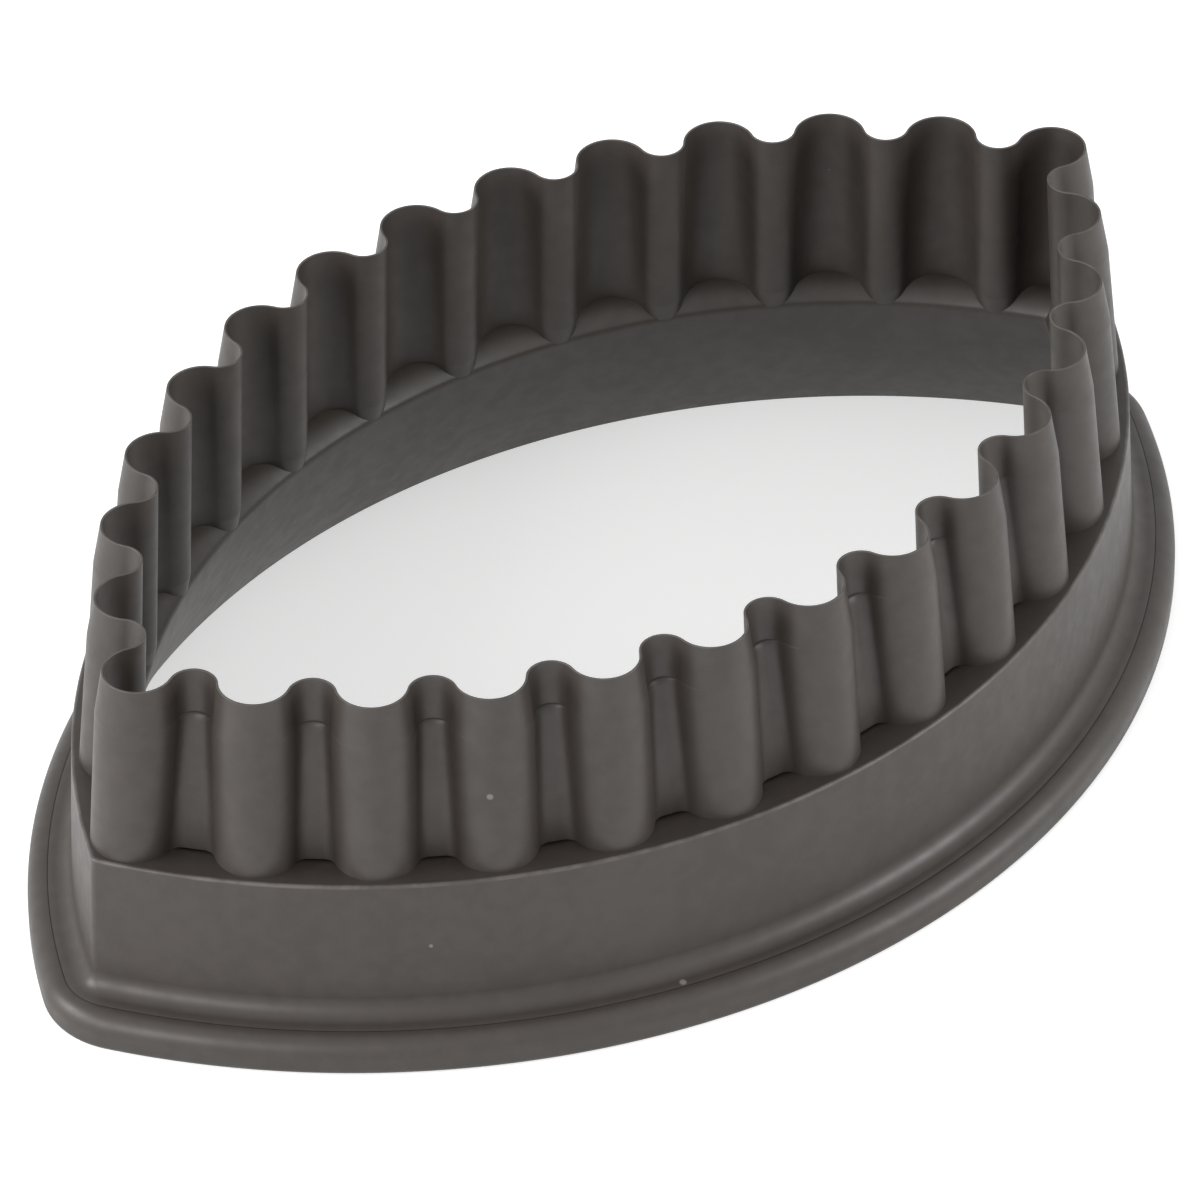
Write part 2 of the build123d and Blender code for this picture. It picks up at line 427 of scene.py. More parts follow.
@dataclass(frozen=True)
class Section:
    """A closed section through the ring's wall, as corners joined by straight runs."""

    corners: Sequence[Corner]
    longest_step: float = 1.0 * MM
    arc_step: float = math.radians(12)
    guard: float = 0.06 * MM

    def rows(self) -> tuple[np.ndarray, np.ndarray]:
        """The section as a closed row of points.

        Each rounded corner has a guard point beside either end, so that smooth shading
        stays on the round and off the flats.

        Returns:
            Points of (across, height), and at each how far the finish lightens it, for rubbing and
            as a painted highlight.
        """
        points: list[np.ndarray] = []
        wear_and_highlight: list[float] = []
        count = len(self.corners)
        for index, corner in enumerate(self.corners):
            before, after = self.corners[index - 1], self.corners[(index + 1) % count]
            for place, worn_and_highlit in self._round(before, corner, after):
                if points:
                    self._fill(points, wear_and_highlight, place)
                points.append(place)
                wear_and_highlight.append(worn_and_highlit)
        self._fill(points, wear_and_highlight, points[0])
        return np.array(points), np.array(wear_and_highlight)

    def _fill(self, points: list[np.ndarray], wear_and_highlight: list[float], place: np.ndarray) -> None:
        """Divides a long run from the last point to a place.

        Args:
            points: points found so far, which the new ones join.
            wear_and_highlight: how far the finish lightens each of them, for rubbing and as a
                painted highlight; the list grows with them.
            place: where the run ends.
        """
        start = points[-1]
        steps = math.ceil(float(np.linalg.norm(place - start)) / self.longest_step)
        for step in range(1, steps):
            points.append(start + (place - start) * step / steps)
            wear_and_highlight.append(0.0)

    def _round(
        self, before: Corner, corner: Corner, after: Corner
    ) -> list[tuple[np.ndarray, float]]:
        """Rounds one corner.

        Args:
            before: the corner before it.
            corner: the corner itself.
            after: the corner after it.

        Returns:
            The points that stand for the corner, each with how far the finish lightens it.
        """
        here = np.array([corner.across, corner.height])
        if corner.radius == 0.0:
            return [(here, corner.wear_and_highlight)]
        back = np.array([before.across, before.height]) - here
        ahead = np.array([after.across, after.height]) - here
        back /= np.linalg.norm(back)
        ahead /= np.linalg.norm(ahead)
        bend = math.acos(float(np.clip(back @ ahead, -1, 1)))
        reach = corner.radius / math.tan(bend / 2)
        middle = back + ahead
        centre = here + middle / np.linalg.norm(middle) * corner.radius / math.sin(bend / 2)
        start, end = here + back * reach, here + ahead * reach
        turn = math.pi - bend
        steps = max(2, math.ceil(turn / self.arc_step))
        from_centre, to_centre = start - centre, end - centre
        found = [(start + back * self.guard, 0.0)]
        for step in range(steps + 1):
            share = step / steps
            spoke = from_centre * math.sin((1 - share) * turn) + to_centre * math.sin(share * turn)
            found.append((centre + spoke / math.sin(turn), corner.wear_and_highlight))
        found.append((end + ahead * self.guard, 0.0))
        return found


def grid_mesh(name: str, grid: np.ndarray, wear_and_highlight: np.ndarray, closed: bool) -> bpy.types.Mesh:
    """A mesh of quads over a grid whose rows close on themselves.

    Args:
        name: name of the mesh.
        grid: points, as rows by columns by three.
        wear_and_highlight: how far the finish lightens each row, for rubbing and as a painted
            highlight.
        closed: whether the columns close on themselves too.

    Returns:
        The mesh, with the lightening for rubbing and painted highlight as a point attribute.
    """
    rows, columns = grid.shape[:2]
    numbers = np.arange(rows * columns).reshape(rows, columns)
    across = np.roll(numbers, -1, axis=1) if closed else numbers[:, 1:]
    start = numbers if closed else numbers[:, :-1]
    faces = np.stack(
        [start, across, np.roll(across, -1, axis=0), np.roll(start, -1, axis=0)], axis=-1
    )
    mesh = bpy.data.meshes.new(name)
    mesh.from_pydata(grid.reshape(-1, 3).tolist(), [], faces.reshape(-1, 4).tolist())
    layer = mesh.attributes.new(WEAR_AND_HIGHLIGHT, "FLOAT", "POINT")
    layer.data.foreach_set("value", np.repeat(wear_and_highlight, columns).astype(np.float32))
    mesh.shade_smooth()
    return mesh


def add_piece(name: str, mesh: bpy.types.Mesh, node: Node) -> bpy.types.Object:
    """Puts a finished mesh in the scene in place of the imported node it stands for.

    Args:
        name: name of the piece.
        mesh: its mesh, already dressed.
        node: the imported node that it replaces.

    Returns:
        The piece.
    """
    mesh.set_sharp_from_angle(angle=CREASE_ANGLE)
    piece = bpy.data.objects.new(name, mesh)
    bpy.context.scene.collection.objects.link(piece)
    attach(piece, BODY)
    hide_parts(node.value)
    log.info("%s: %d vertices, %d faces", name, len(mesh.vertices), len(mesh.polygons))
    return piece


@dataclass(frozen=True)
class Bore:
    """The opening below the flutes, which widens in one long curve down to the mouth."""

    lens: Lens
    top_radius: float
    top_height: float
    mouth_length: float = 120.83 * MM
    mouth_width: float = 72.21 * MM
    start_slope: float = 0.15
    steps: int = 16

    @property
    def widening(self) -> float:
        """How far the mouth's middle stands outside the top's."""
        return self.mouth_width / 2 + self.lens.centre_offset - self.top_radius

    def across(self, height: float) -> float:
        """Reach of the opening's middle.

        Args:
            height: height between the underside and the ledge.

        Returns:
            The reach at that height.
        """
        drop = self.top_height - height
        bend = (self.widening - self.start_slope * self.top_height) / self.top_height**2
        return self.top_radius + self.start_slope * drop + bend * drop**2

    def half_length(self, height: float) -> float:
        """Half length of the opening.

        Args:
            height: height between the underside and the ledge.

        Returns:
            The half length at that height.
        """
        share = (self.across(height) - self.top_radius) / self.widening
        top = self.lens.reach(self.top_radius)
        return top + share * (self.mouth_length / 2 - top)

    def line(self, low: float, high: float) -> list[Corner]:
        """The opening's section between two heights, from the lower to the upper."""
        heights = np.linspace(low, high, self.steps + 1)
        return [Corner(self.across(float(height)), float(height)) for height in heights]


@dataclass(frozen=True)
class PlainRing:
    """A ring of plain lens outlines: the opening's inside, and its own outside."""

    name: str
    node: Node
    bore: Bore
    section: Section
    round_from: float
    round_growth: float
    outer_round: float
    bore_round: float = 0.35 * MM
    bore_depth: float = 2.0 * MM

    def outline(self, across: float, height: float) -> np.ndarray:
        """The outline that a point of the section draws round the ring.

        Args:
            across: reach of the outline's middle.
            height: height of the outline.

        Returns:
            Plan points, which pass from the opening's lens to the ring's own.
        """
        lens = self.bore.lens
        inside = across - self.bore.across(height)
        share = min(max(inside / self.bore_depth, 0.0), 1.0)
        opening = self.bore.half_length(height) + inside
        outer = self.outer_round + self.round_growth * max(across - self.round_from, 0.0)
        return Outline(
            half_length=opening + share * (lens.reach(across) - opening),
            half_width=across - lens.centre_offset,
            corner=self.bore_round + share * (outer - self.bore_round),
        ).points()

    def build(self, finish: bpy.types.Material) -> bpy.types.Object:
        """Makes the ring and dresses it in its finish.

        Args:
            finish: material of the ring.

        Returns:
            The piece.
        """
        rows, wear_and_highlight = self.section.rows()
        grid = []
        for across, height in rows:
            plan = self.outline(float(across), float(height))
            grid.append(np.column_stack([plan, np.full(len(plan), height)]))
        mesh = grid_mesh(self.name, np.array(grid), wear_and_highlight, closed=True)
        mesh.materials.append(finish)
        return add_piece(self.name, mesh, self.node)


@dataclass(frozen=True)
class Band:
    """One end of a fluted ring: its height, and its outlines inside and outside."""

    height: float
    inner: Level
    outer: Level

    @property
    def thickness(self) -> float:
        """Thickness of the ring at a crest."""
        return self.outer.crest - self.inner.crest


@dataclass(frozen=True)
class FlutedRing:
    """A fluted ring ruled between two bands, made of one flute repeated."""

    name: str
    node: Node
    flutes: Flutes
    base: Band
    top: Band
    ease: float = 0.0
    wear_and_highlight: float = 0.0
    meets: Level | None = None
    shoulder: float = 0.9 * MM
    shoulder_steps: int = 8
    guard: float = 0.02 * MM
    weld: float = 0.002 * MM

    def thickness(self, height: float) -> float:
        """Thickness at a crest, at a height."""
        rise = (height - self.base.height) / (self.top.height - self.base.height)
        return self.base.thickness + rise * (self.top.thickness - self.base.thickness)

    def section(self) -> Section:
        """The ring's section at a crest, with the top's two corners eased.

        Returns:
            The section, with its reach counted from the inner face.
        """
        corners = [
            Corner(0.0, self.base.height),
            Corner(0.0, self.top.height, self.ease, self.wear_and_highlight),
            Corner(self.top.thickness, self.top.height, self.ease, self.wear_and_highlight),
        ]
        if self.meets:
            turns = np.linspace(math.pi / 2, 0, self.shoulder_steps + 1)[1:]
            heights = self.top.height - self.shoulder * (1 - np.sin(turns))
            corners += [Corner(self.thickness(float(x)), float(x)) for x in heights]
        corners.append(Corner(self.base.thickness, self.base.height))
        return Section(corners, guard=self.guard)

    def shoulder_share(self, height: float) -> float:
        """How far the outside has turned in at a height to meet the ring above."""
        rise = max(height - self.top.height + self.shoulder, 0.0) / self.shoulder
        return 1 - math.sqrt(max(1 - rise**2, 0.0))

    def build(self, finish: bpy.types.Material) -> bpy.types.Object:
        """Repeats the flute round the lens and dresses the ring in its finish.

        Args:
            finish: material of the ring.

        Returns:
            The piece, as a plain mesh.
        """
        side_flute = self._flute("side_flute", self.flutes.side_line)
        point_flute = self._flute("point_flute", self.flutes.point_line)
        tree = flute_tree()
        modifier = side_flute.modifiers.new("repeat_flutes", "NODES")
        modifier.node_group = tree
        values = {
            "Point Flute": point_flute,
            "Flutes Per Side": self.flutes.per_side,
            "First Angle": self.flutes.first_angle,
            "Pitch Angle": self.flutes.pitch_angle,
            "Centre Offset": self.flutes.lens.centre_offset,
            "Weld Distance": self.weld,
            "Finish": finish,
        }
        for item in tree.interface.items_tree:
            if item.in_out == "INPUT" and item.name in values:
                modifier[item.identifier] = values[item.name]
        bpy.context.view_layer.update()
        evaluated = side_flute.evaluated_get(bpy.context.evaluated_depsgraph_get())
        mesh = bpy.data.meshes.new_from_object(evaluated)
        mesh.name = self.name
        side_flute.modifiers.remove(modifier)
        for helper in (side_flute, point_flute):
            bpy.data.objects.remove(helper)
        return add_piece(self.name, mesh, self.node)

    def _flute(self, name: str, draw: Callable[[Level], np.ndarray]) -> bpy.types.Object:
        """A helper object that holds one flute's wall, open at its two ridges.

        Args:
            name: name of the helper.
            draw: draws the flute's plan points at a level.

        Returns:
            The helper object.
        """
        rows, wear_and_highlight = self.section().rows()
        ends = [
            [draw(level) for level in (band.inner, band.outer)] for band in (self.base, self.top)
        ]
        turned_in = draw(self.meets) - ends[1][1] if self.meets else 0.0
        grid = []
        for across, height in rows:
            rise = (height - self.base.height) / (self.top.height - self.base.height)
            out = across / self.thickness(height)
            low, high = (inner + out * (outer - inner) for inner, outer in ends)
            plan = low + rise * (high - low) + out * self.shoulder_share(height) * turned_in
            grid.append(np.column_stack([plan, np.full(len(plan), height)]))
        mesh = grid_mesh(name, np.array(grid), wear_and_highlight, closed=False)
        helper = bpy.data.objects.new(name, mesh)
        bpy.context.scene.collection.objects.link(helper)
        return helper


def flute_tree() -> bpy.types.NodeTree:
    """The tree that repeats one flute along both sides and sets a flute at each point.

    Returns:
        The tree, whose inputs are the flutes' own layout.
    """
    tree = bpy.data.node_groups.new("repeat_flutes", "GeometryNodeTree")
    inputs = (
        ("Geometry", "NodeSocketGeometry"),
        ("Point Flute", "NodeSocketObject"),
        ("Flutes Per Side", "NodeSocketInt"),
        ("First Angle", "NodeSocketFloat"),
        ("Pitch Angle", "NodeSocketFloat"),
        ("Centre Offset", "NodeSocketFloat"),
        ("Weld Distance", "NodeSocketFloat"),
        ("Finish", "NodeSocketMaterial"),
    )
    for name, kind in inputs:
        tree.interface.new_socket(name, in_out="INPUT", socket_type=kind)
    tree.interface.new_socket("Geometry", in_out="OUTPUT", socket_type="NodeSocketGeometry")
    add, link = tree.nodes.new, tree.links.new
    given = add("NodeGroupInput").outputs

    flip_offset = add("ShaderNodeMath")
    flip_offset.operation = "MULTIPLY"
    link(given["Centre Offset"], flip_offset.inputs[0])
    flip_offset.inputs[1].default_value = -1.0
    arc_centre = add("ShaderNodeCombineXYZ")
    link(flip_offset.outputs[0], arc_centre.inputs["Y"])
    points = add("GeometryNodePoints")
    link(given["Flutes Per Side"], points.inputs["Count"])
    link(arc_centre.outputs[0], points.inputs["Position"])

    step = add("ShaderNodeMath")
    step.operation = "MULTIPLY_ADD"
    link(add("GeometryNodeInputIndex").outputs[0], step.inputs[0])
    link(given["Pitch Angle"], step.inputs[1])
    link(given["First Angle"], step.inputs[2])
    clockwise = add("ShaderNodeMath")
    clockwise.operation = "MULTIPLY"
    link(step.outputs[0], clockwise.inputs[0])
    clockwise.inputs[1].default_value = -1.0
    turn = add("ShaderNodeCombineXYZ")
    link(clockwise.outputs[0], turn.inputs["Z"])
    repeat = add("GeometryNodeInstanceOnPoints")
    link(points.outputs[0], repeat.inputs["Points"])
    link(given["Geometry"], repeat.inputs["Instance"])
    link(turn.outputs[0], repeat.inputs["Rotation"])

    point_flute = add("GeometryNodeObjectInfo")
    link(given["Point Flute"], point_flute.inputs["Object"])
    half = add("GeometryNodeJoinGeometry")
    link(repeat.outputs["Instances"], half.inputs[0])
    link(point_flute.outputs["Geometry"], half.inputs[0])
    half_real = add("GeometryNodeRealizeInstances")
    link(half.outputs[0], half_real.inputs[0])
    other_half = add("GeometryNodeTransform")
    link(half_real.outputs[0], other_half.inputs["Geometry"])
    other_half.inputs["Rotation"].default_value = (0.0, 0.0, math.pi)
    whole = add("GeometryNodeJoinGeometry")
    link(half_real.outputs[0], whole.inputs[0])
    link(other_half.outputs[0], whole.inputs[0])

    weld = add("GeometryNodeMergeByDistance")
    link(whole.outputs[0], weld.inputs["Geometry"])
    link(given["Weld Distance"], weld.inputs["Distance"])
    real = add("GeometryNodeRealizeInstances")
    link(weld.outputs[0], real.inputs[0])
    smooth = add("GeometryNodeSetShadeSmooth")
    link(real.outputs[0], smooth.inputs["Geometry"])
    dress = add("GeometryNodeSetMaterial")
    link(smooth.outputs[0], dress.inputs["Geometry"])
    link(given["Finish"], dress.inputs["Material"])
    link(dress.outputs[0], add("NodeGroupOutput").inputs[0])
    return tree


@dataclass(frozen=True)
class Cutter:
    """The whole ring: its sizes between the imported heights, and its five pieces."""

    lens: Lens = Lens()
    root_thickness: float = 2.25 * MM
    wall_thickness: float = 0.95 * MM
    edge_thickness: float = 0.18 * MM
    lip_groove_thickness: float = 0.55 * MM
    lip_groove_radius: float = 1.5 * MM
    ledge_width: float = 0.65 * MM
    skirt_spread: float = 0.45 * MM
    shoulder_drop: float = 1.7 * MM
    shoulder_bulge: float = 0.35 * MM
    shoulder_round: float = 0.8 * MM
    shoulder_steps: int = 8
    ridge_foot_thickness: float = 1.2 * MM
    ridge_foot_inset: float = 0.02 * MM
    root_radius: float = 1.7 * MM
    root_steps: int = 10
    step_width: float = 0.35 * MM
    step_fall: float = 0.1 * MM
    crease_radius: float = 0.15 * MM
    rim_width: float = 1.8 * MM
    rim_radius: float = 1.7 * MM
    foot_radius: float = 0.6 * MM
    rim_turn: float = 8.15 * MM
    skirt_turn: float = 0.9 * MM
    soft_edge: float = 0.25 * MM
    lip_ease: float = 0.05 * MM

    @property
    def flutes(self) -> Flutes:
        """The flutes between the ledge and the cutting edge."""
        return Flutes(self.lens, node_top(Node.SKIRT), node_top(Node.LIP))

    @property
    def bore(self) -> Bore:
        """The opening below the flutes, flush with the ridges that stand on it."""
        ledge = node_top(Node.SKIRT)
        return Bore(self.lens, self.flutes.inner(ledge).ridge, ledge)

    @property
    def ledge_radius(self) -> float:
        """Reach of the ledge's outer edge."""
        crest = self.flutes.wall(node_top(Node.SKIRT), self.root_thickness).crest
        return crest + self.ledge_width

    @property
    def foot_reach(self) -> float:
        """Reach of the skirt's foot."""
        return self.ledge_radius + self.skirt_spread

    def flange_section(self) -> Section:
        """The flange: flared bore, level top, small root, stepped shelf, rounded rim.

        Returns:
            The section, from the mouth up and round to the foot.
        """
        top = node_top(Node.FLANGE)
        step_start = self.foot_reach + self.root_radius
        crease = step_start + self.step_width
        rim = crease + self.rim_width
        shelf = top - self.root_radius
        root = [
            Corner(
                step_start - self.root_radius * math.cos(angle),
                top - self.root_radius * math.sin(angle),
            )
            for angle in np.linspace(0, math.pi / 2, self.root_steps + 1)
        ]
        outside = [
            Corner(crease, shelf - self.step_fall, self.crease_radius),
            Corner(rim, shelf - self.step_fall, self.rim_radius),
            Corner(rim, 0.0, self.foot_radius),
        ]
        return Section(self.bore.line(0.0, top) + root + outside)

    def skirt_section(self) -> Section:
        """The skirt: drafted outside, widening bore, sloped shoulder, ledge with a soft edge.

        Returns:
            The section, from the foot of the bore up and round to the skirt's foot.
        """
        low, high = node_top(Node.FLANGE), node_top(Node.SKIRT)
        bore = self.bore.line(low, high - self.shoulder_drop)
        foot = bore.pop()
        start = Vector((foot.across, foot.height))
        run = Vector((self.flutes.inner(high).crest, high)) - start
        swell = Vector((-run.y, run.x)).normalized() * self.shoulder_bulge
        slope = []
        for step in range(1, self.shoulder_steps + 1):
            share = step / self.shoulder_steps
            place = start + run * share + swell * 4 * share * (1 - share)
            slope.append(Corner(place.x, place.y))
        return Section(
            bore
            + [Corner(foot.across, foot.height, self.shoulder_round)]
            + slope
            + [
                # The ledge's soft edge carries the finish's painted highlight.
                Corner(self.ledge_radius, high, self.soft_edge, FULL_WEAR_AND_HIGHLIGHT),
                Corner(self.foot_reach, low),
            ]
        )

    def ridge_feet(self) -> tuple[Band, Band]:
        """Ends of the ring whose ridges stand between the shoulders, flush with the bore.

        Returns:
            Its base, at the foot of the shoulders, and its top, on the ledge.
        """
        high = node_top(Node.SKIRT)
        low = high - self.shoulder_drop
        widening = self.bore.across(low) - self.bore.across(high) + self.ridge_foot_inset
        inner = self.flutes.inner(high)
        outer = self.flutes.wall(high, self.ridge_foot_thickness)
        base = Band(low, inner.outwards(widening), outer.outwards(widening))
        return base, Band(high, inner, outer)

    def bands(self) -> tuple[Band, Band, Band, Band]:
        """Ends of the two fluted rings.

        Returns:
            The wall's base and top, then the lip's.
        """
        flutes = self.flutes
        ledge, seam, edge = (node_top(node) for node in (Node.SKIRT, Node.WALL, Node.LIP))
        edge_radius = flutes.ridge_radius - self.edge_thickness
        lip_base = flutes.lip(
            seam, self.wall_thickness, self.lip_groove_thickness, self.lip_groove_radius
        )
        lip_top = flutes.lip(edge, self.edge_thickness, self.edge_thickness, edge_radius)
        return (
            Band(ledge, flutes.inner(ledge), flutes.wall(ledge, self.root_thickness)),
            Band(seam, flutes.inner(seam), flutes.wall(seam, self.wall_thickness)),
            Band(seam, flutes.inner(seam), lip_base),
            Band(edge, flutes.inner(edge), lip_top),
        )

    def build(self, finish: bpy.types.Material) -> list[bpy.types.Object]:
        """Makes the pieces, from the underside up.

        Args:
            finish: material of all the pieces.

        Returns:
            The pieces.
        """
        foot = self.foot_reach
        rim = foot + self.root_radius + self.step_width + self.rim_width
        bore, flutes, turn = self.bore, self.flutes, self.skirt_turn
        growth = (self.rim_turn - turn) / (rim - foot)
        wall_base, wall_top, lip_base, lip_top = self.bands()
        pieces = (
            PlainRing("press_flange", Node.FLANGE, bore, self.flange_section(), foot, growth, turn),
            PlainRing("ledged_skirt", Node.SKIRT, bore, self.skirt_section(), foot, 0.0, turn),
            FlutedRing("ridge_feet", Node.SKIRT, flutes, *self.ridge_feet()),
            FlutedRing(
                "fluted_wall_shell", Node.WALL, flutes, wall_base, wall_top, meets=lip_base.outer
            ),
            FlutedRing(
                "bevelled_lip", Node.LIP, flutes, lip_base, lip_top, self.lip_ease, FULL_WEAR_AND_HIGHLIGHT
            ),
        )
        return [piece.build(finish) for piece in pieces]


@dataclass(frozen=True)
class Wiring:
    """Short ways to add and join nodes in one tree."""

    tree: bpy.types.NodeTree
    noise_roughness: float = 0.55

    def add(
        self, kind: str, values: dict[str | int, object] | None = None, **settings: object
    ) -> bpy.types.Node:
        """Adds a node and fills it in.

        Args:
            kind: type of the node.
            values: for each input, the socket that feeds it or its own value.
            settings: properties of the node.

        Returns:
            The node.
        """
        node = self.tree.nodes.new(kind)
        for name, value in settings.items():
            setattr(node, name, value)
        for name, value in (values or {}).items():
            if isinstance(value, bpy.types.NodeSocket):
                self.tree.links.new(value, node.inputs[name])
            else:
                node.inputs[name].default_value = value
        return node

    def noise(
        self, place: bpy.types.NodeSocket, size: float, detail: float
    ) -> bpy.types.NodeSocket:
        """Noise with spots of about a size in metres.

        Args:
            place: the point that the noise is read at.
            size: size of the spots.
            detail: how many finer layers lie over them.

        Returns:
            The socket of the noise.
        """
        values = {
            "Vector": place,
            "Scale": 1 / size,
            "Detail": detail,
            "Roughness": self.noise_roughness,
        }
        return self.add("ShaderNodeTexNoise", values).outputs[0]

    def math(self, operation: str, first: object, second: object) -> bpy.types.NodeSocket:
        """The result of a sum on two values or sockets."""
        return self.add("ShaderNodeMath", {0: first, 1: second}, operation=operation).outputs[0]

    def weighed(
        self,
        first: bpy.types.NodeSocket,
        second: bpy.types.NodeSocket,
        shares: tuple[float, float],
    ) -> bpy.types.NodeSocket:
        """The sum of two sockets, each times its share."""
        parts = [self.math("MULTIPLY", *pair) for pair in zip((first, second), shares)]
        return self.math("ADD", *parts)

    def ramp(
        self,
        value: bpy.types.NodeSocket,
        low: float,
        high: float,
        start: float = 0.0,
        end: float = 1.0,
    ) -> bpy.types.NodeSocket:
        """A smooth run from start to end as a value passes from low to high."""
        values = {"Value": value, "From Min": low, "From Max": high, "To Min": start, "To Max": end}
        return self.add("ShaderNodeMapRange", values, interpolation_type="SMOOTHSTEP").outputs[0]


def new_group(
    name: str, inputs: Sequence[tuple[str, str]], outputs: Sequence[tuple[str, str]]
) -> Wiring:
    """An empty shader node group with its sockets.

    Args:
        name: name of the group.
        inputs: name and type of each input.
        outputs: name and type of each output.

    Returns:
        The group's tree, ready to be wired.
    """
    tree = bpy.data.node_groups.new(name, "ShaderNodeTree")
    for label, kind in inputs:
        tree.interface.new_socket(label, in_out="INPUT", socket_type=kind)
    for label, kind in outputs:
        tree.interface.new_socket(label, in_out="OUTPUT", socket_type=kind)
    return Wiring(tree)


@dataclass(frozen=True)
class MouldedGrain:
    """A moulded skin: the height of its grain, and the cloudiness of its colour.

    Each pair of shares weighs the finer spots against the broader ones.
    """

    fine_size: float = 0.16 * MM
    broad_size: float = 0.9 * MM
    height_shares: tuple[float, float] = (0.6, 0.7)
    cloud_size: float = 1.6 * MM
    patch_size: float = 9.0 * MM
    mottle_shares: tuple[float, float] = (0.65, 0.35)
    detail: float = 2.0
    cloud_detail: float = 4.0

    def group(self) -> bpy.types.NodeTree:
        """Makes the node group.

        Returns:
            The group, which puts out the height and the mottle.
        """
        wiring = new_group(
            "moulded_grain",
            [("Vector", "NodeSocketVector")],
            [("Height", "NodeSocketFloat"), ("Mottle", "NodeSocketFloat")],
        )
        place = wiring.add("NodeGroupInput").outputs[0]
        fine = wiring.noise(place, self.fine_size, self.detail)
        broad = wiring.noise(place, self.broad_size, self.detail)
        height = wiring.weighed(fine, broad, self.height_shares)
        cloud = wiring.noise(place, self.cloud_size, self.cloud_detail)
        patch = wiring.noise(place, self.patch_size, self.detail)
        mottle = wiring.weighed(cloud, patch, self.mottle_shares)
        wiring.add("NodeGroupOutput", {"Height": height, "Mottle": mottle})
        return wiring.tree


@dataclass(frozen=True)
class BrokenWearAndHighlight:
    """Edges lightened in patches: pale rubbing, and a painted highlight along the ledge's soft
    edge.
    """

    patch_size: float = 2.2 * MM
    detail: float = 3.0
    patch_range: tuple[float, float] = (0.35, 0.62)
    least: float = 0.25

    def group(self) -> bpy.types.NodeTree:
        """Makes the node group.

        Returns:
            The group, whose mask is one where an edge is lightened most, by rubbing and by the
            painted highlight.
        """
        wiring = new_group(
            "broken_wear",
            [("Wear", "NodeSocketFloat"), ("Vector", "NodeSocketVector")],
            [("Mask", "NodeSocketFloat")],
        )
        given = wiring.add("NodeGroupInput").outputs
        noise = wiring.noise(given["Vector"], self.patch_size, self.detail)
        patches = wiring.ramp(noise, *self.patch_range, self.least)
        mask = wiring.math("MULTIPLY", given["Wear"], patches)
        wiring.add("NodeGroupOutput", {"Mask": mask})
        return wiring.tree


@dataclass(frozen=True)
class Speck:
    """A pale grain that shows in the skin, with a soft rim round its core."""

    place: tuple[float, float, float]
    radius: float
    core_share: float = 0.5


@dataclass(frozen=True)
class PaleSpecks:
    """Pale filler grains: sparse ones all over, and the ones at known places.

    The sparse ones lie in cells, and their radii are shares of a cell.
    """

    cell_size: float = 2.4 * MM
    rarity: float = 0.86
    dot_radii: tuple[float, float] = (0.035, 0.06)
    dot_strength: float = 0.5
    known: tuple[Speck, ...] = (
        Speck((-0.03536, -0.02368, 0.02462), 0.36 * MM),
        Speck((-0.02304, -0.03369, 0.00350), 0.38 * MM),
        Speck((-0.04071, -0.02192, 0.01053), 0.22 * MM),
    )

    def group(self) -> bpy.types.NodeTree:
        """Makes the node group.

        Returns:
            The group, whose mask is one on a grain.
        """
        wiring = new_group(
            "pale_specks", [("Vector", "NodeSocketVector")], [("Mask", "NodeSocketFloat")]
        )
        place = wiring.add("NodeGroupInput").outputs[0]
        cells = wiring.add("ShaderNodeTexVoronoi", {"Vector": place, "Scale": 1 / self.cell_size})
        chosen = wiring.math("GREATER_THAN", cells.outputs["Color"], self.rarity)
        dots = wiring.ramp(cells.outputs["Distance"], *self.dot_radii, self.dot_strength, 0.0)
        mask = wiring.math("MULTIPLY", dots, chosen)
        for speck in self.known:
            gap = wiring.add(
                "ShaderNodeVectorMath", {0: place, 1: speck.place}, operation="DISTANCE"
            )
            core = speck.radius * speck.core_share
            dot = wiring.ramp(gap.outputs["Value"], core, speck.radius, 1.0, 0.0)
            mask = wiring.math("MAXIMUM", mask, dot)
        wiring.add("NodeGroupOutput", {"Mask": mask})
        return wiring.tree


